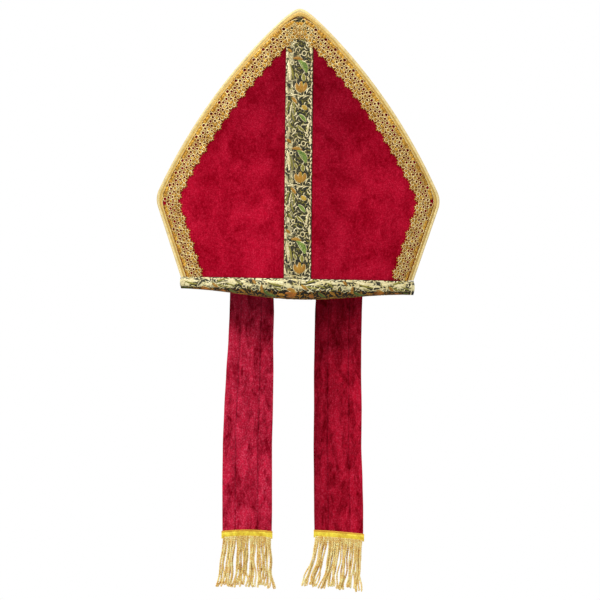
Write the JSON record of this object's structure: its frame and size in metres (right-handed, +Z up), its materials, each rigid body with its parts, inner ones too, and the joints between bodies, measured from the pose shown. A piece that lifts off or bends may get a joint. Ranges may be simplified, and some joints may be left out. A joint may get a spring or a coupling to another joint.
{
  "type": "bishop mitre",
  "caption": "Bishop mitre: velvet horns joined at the sides, gold lace and binding, brocade rim and centre band, fringed lappets hanging from the back of the rim.",
  "frame": {"origin": "middle of the rim plane, where the hat sits on the head", "axes": "+Z up from the rim to the peaks, the front horn faces -Y, +X to the right as seen from the front"},
  "size_m": [0.3384, 0.0968, 0.7018],
  "materials": {
    "velvet": "crimson short-pile velvet, mottled nap",
    "gold_lame": "pale gold lame binding, soft metallic sheen",
    "gold_lace": "gold metallic-thread guipure lace",
    "brocade": "dark brocade ribbon with gold, orange and green figuring",
    "yellow_braid": "bright yellow satin braid",
    "bullion": "twisted gold bullion cords"
  },
  "bodies": {
    "root": {"front_panel": "velvet", "back_panel": "velvet", "crown_gusset": "velvet", "front_binding": "gold_lame", "back_binding": "gold_lame", "lace_trim": "gold_lace", "centre_band": "brocade", "front_rim_band": "brocade", "back_rim_band": "brocade", "left_lappet": "velvet", "left_lappet_braid": "yellow_braid", "left_fringe": "bullion", "right_lappet": "velvet", "right_lappet_braid": "yellow_braid", "right_fringe": "bullion"}
  },
  "joints": []
}
